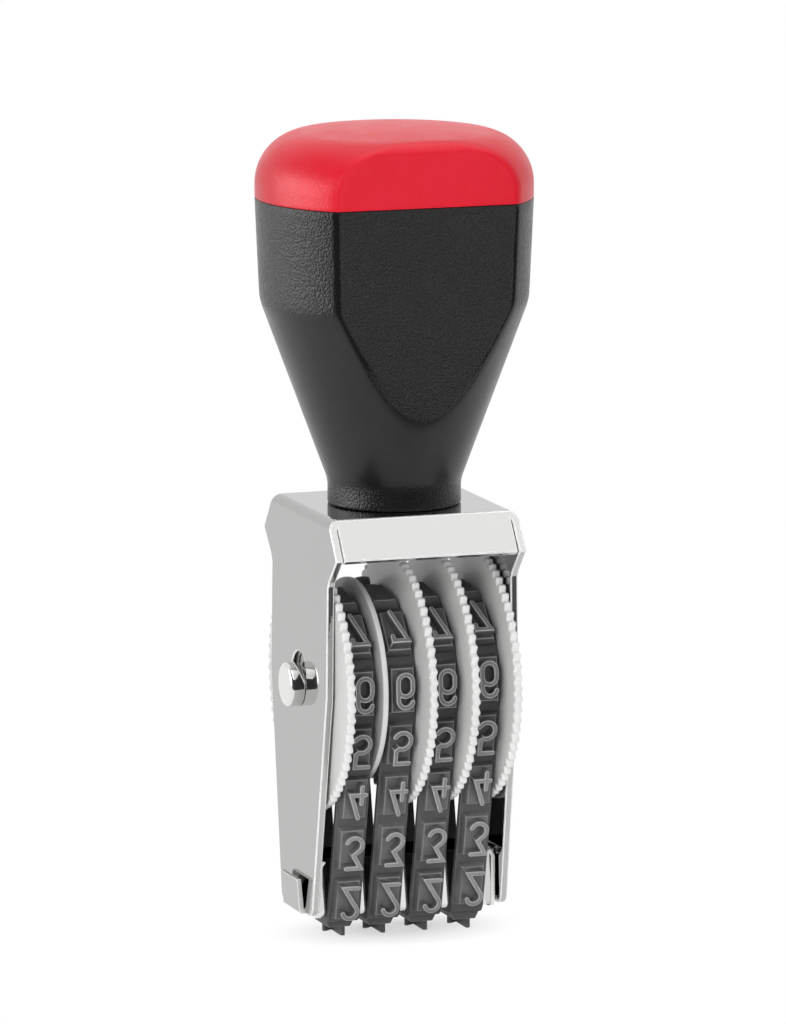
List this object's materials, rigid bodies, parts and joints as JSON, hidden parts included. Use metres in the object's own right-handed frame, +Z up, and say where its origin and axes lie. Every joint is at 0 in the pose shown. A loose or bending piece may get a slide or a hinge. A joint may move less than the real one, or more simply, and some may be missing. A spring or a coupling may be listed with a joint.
{
  "type": "numbering stamp",
  "caption": "Hand numbering stamp with rubber number bands round knurled setting wheels in a folded metal frame, under a black plastic handle with a red cap.",
  "frame": {"origin": "middle of the printing face, at the height of the characters that touch the paper", "axes": "+Z up the handle, +X along the axle to the right seen from the front, -Y to the front, where the numerals are read"},
  "size_m": [0.0366, 0.0338, 0.1073],
  "materials": {
    "cap_red": "fine grained, satin",
    "handle_black": "fine leather grain, satin",
    "fixing_steel": "zinc plated",
    "frame_nickel": "bright nickel plate",
    "bridge_nickel": "bright nickel plate",
    "axle_nickel": "turned, nickel plated",
    "separator_grey": "smooth moulded",
    "wheel_white": "smooth moulded",
    "band_rubber": "matt moulded rubber"
  },
  "bodies": {
    "stamp": {"handle_cap": "cap_red", "handle_body": "handle_black", "handle_screw": "fixing_steel", "screw_washer": "fixing_steel", "screw_nut": "fixing_steel", "frame": "frame_nickel", "printing_bridge": "bridge_nickel", "axle": "axle_nickel", "separator_disc": "separator_grey", "number_band_1": "band_rubber", "number_band_2": "band_rubber", "number_band_3": "band_rubber", "number_band_4": "band_rubber"},
    "wheel_1": {"setting_wheel_1": "wheel_white"},
    "wheel_2": {"setting_wheel_2": "wheel_white"},
    "wheel_3": {"setting_wheel_3": "wheel_white"},
    "wheel_4": {"setting_wheel_4": "wheel_white"}
  },
  "joints": [
    {"name": "wheel_1_turn", "type": "hinge", "parent": "stamp", "child": "wheel_1", "pos_m": [0, 0, 0.03384], "axis": [1, 0, 0], "continuous": true},
    {"name": "wheel_2_turn", "type": "hinge", "parent": "stamp", "child": "wheel_2", "pos_m": [0, 0, 0.03384], "axis": [1, 0, 0], "continuous": true},
    {"name": "wheel_3_turn", "type": "hinge", "parent": "stamp", "child": "wheel_3", "pos_m": [0, 0, 0.03384], "axis": [1, 0, 0], "continuous": true},
    {"name": "wheel_4_turn", "type": "hinge", "parent": "stamp", "child": "wheel_4", "pos_m": [0, 0, 0.03384], "axis": [1, 0, 0], "continuous": true}
  ]
}
